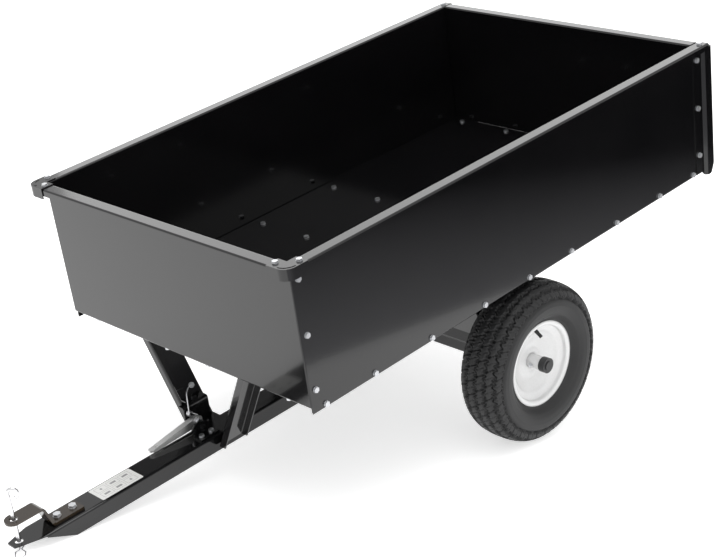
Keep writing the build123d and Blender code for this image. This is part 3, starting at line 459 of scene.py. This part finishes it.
# The pressed discs, as (distance out from the wheel's middle, radius) in mm.
RIM_LINE = ((33.6, 89.0), (33.9, 84.0), (32.0, 80.0), (24.0, 79.2), (21.5, 73.0), (19.0, 66.0),
            (15.0, 61.5), (11.0, 54.0), (7.5, 46.0), (5.0, 38.0), (4.4, 28.0), (6.0, 22.0),
            (6.0, 14.2))
RIM_INNER_LINE = ((33.6, 89.0), (33.9, 84.0), (32.0, 80.0), (24.0, 79.2), (20.0, 69.5),
                  (14.0, 66.0), (9.0, 54.0), (2.0, 44.5), (1.3, 30.0), (1.3, 14.2))
DISC_CORNER = 4.0
DISC_THICK = 1.9


def wheel_disc(side):
    """The two pressed halves of a wheel's disc, facing out and in."""
    name = "left" if side > 0 else "right"
    body = "wheel_" + name
    outer_loop = thickened(rounded(RIM_LINE, DISC_CORNER), DISC_THICK)
    outer = turned("rim_dish_" + name, outer_loop, body, "white_enamel", side)
    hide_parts("rim_outer_" + name)
    inner_line = [(-u, v) for u, v in RIM_INNER_LINE]
    inner_loop = thickened(rounded(inner_line, DISC_CORNER), DISC_THICK)[::-1]
    inner = turned("rim_back_" + name, inner_loop, body, "white_enamel", side)
    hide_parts("rim_inner_" + name)


# ---- latch spring and label -----------------------------------------------------------------
# The spring's coil, in level mm.
SPRING_X, SPRING_Z = 584.0, 57.0
SPRING_START_Y = -25.6
SPRING_LENGTH = 8.6
SPRING_TURNS = 4.5
SPRING_RADIUS = 4.2
SPRING_WIRE_RADIUS = 1.1
STEPS_PER_TURN = 24
# Its legs, as (forward, level y, up) in mm, forward and up from the coil's middle.
UPPER_LEG = ((-37.5, -61, 32), (-34, -59, 37), (-20, -49, 40), (-6, -36, 41), (2, -27, 20))
LOWER_LEG = ((-8, -33.5, -4.5), (-12.5, -28, -6.8), (-13, -23, -7))


def latch_spring():
    """Torsion spring: a coil on the bracket's post, one leg up to the bolt, one on the lever."""
    steps = int(SPRING_TURNS * STEPS_PER_TURN)
    coil = []
    for i in range(steps + 1):
        angle = 2 * math.pi * i / STEPS_PER_TURN
        y = SPRING_START_Y - SPRING_LENGTH * i / steps
        coil.append((SPRING_RADIUS * math.cos(angle), y, SPRING_RADIUS * math.sin(angle)))
    path = [Vector((SPRING_X + forward, y, SPRING_Z + up))
            for forward, y, up in (*UPPER_LEG, *coil, *LOWER_LEG)]
    line = bpy.data.curves.new("spring_line", "CURVE")
    line.dimensions = "3D"
    spline = line.splines.new("NURBS")
    spline.points.add(len(path) - 1)
    for point, place in zip(spline.points, path):
        point.co = (*(LEVEL @ (place * MM)), 1.0)
    spline.order_u = 3
    spline.use_endpoint_u = True
    spline.resolution_u = 4
    holder = bpy.data.objects.new("spring_line", line)
    smooth = bpy.data.meshes.new_from_object(holder)
    points = [v.co.copy() for v in smooth.vertices]
    bpy.data.objects.remove(holder)
    made = swept("torsion_spring", points, SPRING_WIRE_RADIUS * MM, "spring_steel", "tray")
    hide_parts("latch_spring")


# The label on the drawbar, in mm along it from the axle, across it and up from it.
LABEL_START, LABEL_END = 748.0, 842.0
LABEL_HALF = 24.0
LABEL_THICK = 0.25
LABEL_CORNER = 3.0
LABEL_POINTS = 32
WEB_TOP = 14.2
LABEL_GAP = 0.02


def drawbar_label():
    """A plain sticker on the drawbar's web."""
    length = (LABEL_END - LABEL_START) * MM
    width = 2 * LABEL_HALF * MM
    corner = LABEL_CORNER * MM
    outline = []
    for i in range(LABEL_POINTS):
        angle = 2 * math.pi * (i + 0.5) / LABEL_POINTS
        u = math.copysign(length / 2 - corner, math.cos(angle)) + corner * math.cos(angle)
        v = math.copysign(width / 2 - corner, math.sin(angle)) + corner * math.sin(angle)
        outline.append((u, v))
    points = [(u, v, height) for height in (0.0, LABEL_THICK * MM) for u, v in outline]
    count = LABEL_POINTS
    faces = [tuple(reversed(range(count))), tuple(range(count, 2 * count))]
    faces += [(i, (i + 1) % count, count + (i + 1) % count, count + i) for i in range(count)]
    mesh = bpy.data.meshes.new("drawbar_label")
    mesh.from_pydata(points, [], faces)
    label = bpy.data.objects.new("drawbar_label", mesh)
    bpy.context.scene.collection.objects.link(label)
    mesh.materials.append(printed_label("label_print", length, width))
    middle = Vector(((LABEL_START + LABEL_END) / 2, 0, WEB_TOP + LABEL_GAP)) * MM
    label.matrix_world = BAR_LINE @ Matrix.Translation(middle)
    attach(label, "chassis")


# ---- studio ---------------------------------------------------------------------------------
FLOOR_HALF = 30
FLOOR_GLOW = 0.58
SKY = 0.85
# A card just over the floor, beside the cart, that only reflections see.
FLAG_BACK, FLAG_FRONT, FLAG_NEAR, FLAG_FAR, FLAG_HEIGHT = -6, 1.9, 0.93, 9, 0.012
# Each softbox's name, place, aim, side and radiance.
SOFTBOXES = (
    ("overhead", (0.3, 0.2, 4.5), (0, 0, 0), 3.0, 2.2),
    ("back_wall", (-4.2, -4.4, 2.6), (0, 0, 0.8), 4.5, 1.25),
    ("wheel_fill", (1.0, 4.6, 1.6), (-0.2, 0.4, 0.2), 2.4, 1.5),
)


def flat_card(name, corners, material):
    mesh = bpy.data.meshes.new(name)
    mesh.from_pydata(corners, [], [tuple(range(len(corners)))])
    card = bpy.data.objects.new(name, mesh)
    bpy.context.scene.collection.objects.link(card)
    mesh.materials.append(material)
    return card


def softbox(name, place, aim, size, radiance):
    """A square area light; radiance is how bright it looks."""
    light = bpy.data.lights.new(name, "AREA")
    light.shape = "SQUARE"
    light.size = size
    light.energy = radiance * math.pi * size * size
    lamp = bpy.data.objects.new(name, light)
    bpy.context.scene.collection.objects.link(lamp)
    lamp.location = place
    lamp.rotation_euler = (Vector(aim) - Vector(place)).to_track_quat("-Z", "Y").to_euler()
    lamp.visible_camera = False


def studio():
    reach = FLOOR_HALF
    corners = [(-reach, -reach, 0), (reach, -reach, 0), (reach, reach, 0), (-reach, reach, 0)]
    flat_card("floor", corners, studio_paper("studio_paper", FLOOR_GLOW))
    grey_flag = Finish("grey_flag", Roughness=1.0, Specular_IOR_Level=0.0, Emission_Strength=1.0)
    fall_off = grey_flag.along("Y") * -0.75 + grey_flag.along("X") * 0.25 + 1.65
    light = grey_flag.between((0.0, 0.0, 0.0), (0.75, 0.75, 0.78), fall_off)
    shade = grey_flag.between((0.0, 0.0, 0.0), (0.01, 0.01, 0.01), fall_off)
    grey_flag.feed("Emission Color", light)
    grey_flag.feed("Base Color", shade)
    edge = [(FLAG_BACK, FLAG_NEAR, FLAG_HEIGHT), (FLAG_FRONT, FLAG_NEAR, FLAG_HEIGHT),
            (FLAG_FRONT, FLAG_FAR, FLAG_HEIGHT), (FLAG_BACK, FLAG_FAR, FLAG_HEIGHT)]
    flag = flat_card("flag", edge, grey_flag.material)
    flag.visible_camera = False
    flag.visible_diffuse = False
    flag.visible_shadow = False
    world = bpy.data.worlds.new("studio")
    world.use_nodes = True
    background = world.node_tree.nodes["Background"].inputs
    background["Color"].default_value = (1.0, 1.0, 1.0, 1.0)
    background["Strength"].default_value = SKY
    bpy.context.scene.world = world
    for name, place, aim, size, radiance in SOFTBOXES:
        softbox(name, place, aim, size, radiance)


# The camera, in level metres.
SENSOR_MM, LENS_MM = 36.0, 79.71
SHIFT_X, SHIFT_Y = 0.01356, 0.01656
CAMERA_PLACE = (2.0863, 2.1867, 1.5936)
CAMERA_FORWARD = (-0.59186, -0.67121, -0.44630)
CAMERA_RIGHT = (-0.69998, 0.70254, -0.12830)


def camera():
    lens = bpy.data.cameras.new("camera")
    lens.sensor_width = SENSOR_MM
    lens.lens = LENS_MM
    lens.shift_x = SHIFT_X
    lens.shift_y = SHIFT_Y
    view = bpy.data.objects.new("camera", lens)
    bpy.context.scene.collection.objects.link(view)
    forward = Vector(CAMERA_FORWARD).normalized()
    right = Vector(CAMERA_RIGHT).normalized()
    up = right.cross(forward)
    turn = Matrix((right, up, -forward)).transposed().to_4x4()
    view.matrix_world = LEVEL @ Matrix.Translation(CAMERA_PLACE) @ turn
    bpy.context.scene.camera = view


dress_cad_nodes()
for side in (1, -1):
    tyre(side)
    wheel_disc(side)
latch_spring()
drawbar_label()
studio()
camera()
bpy.context.scene.view_settings.view_transform = "Standard"
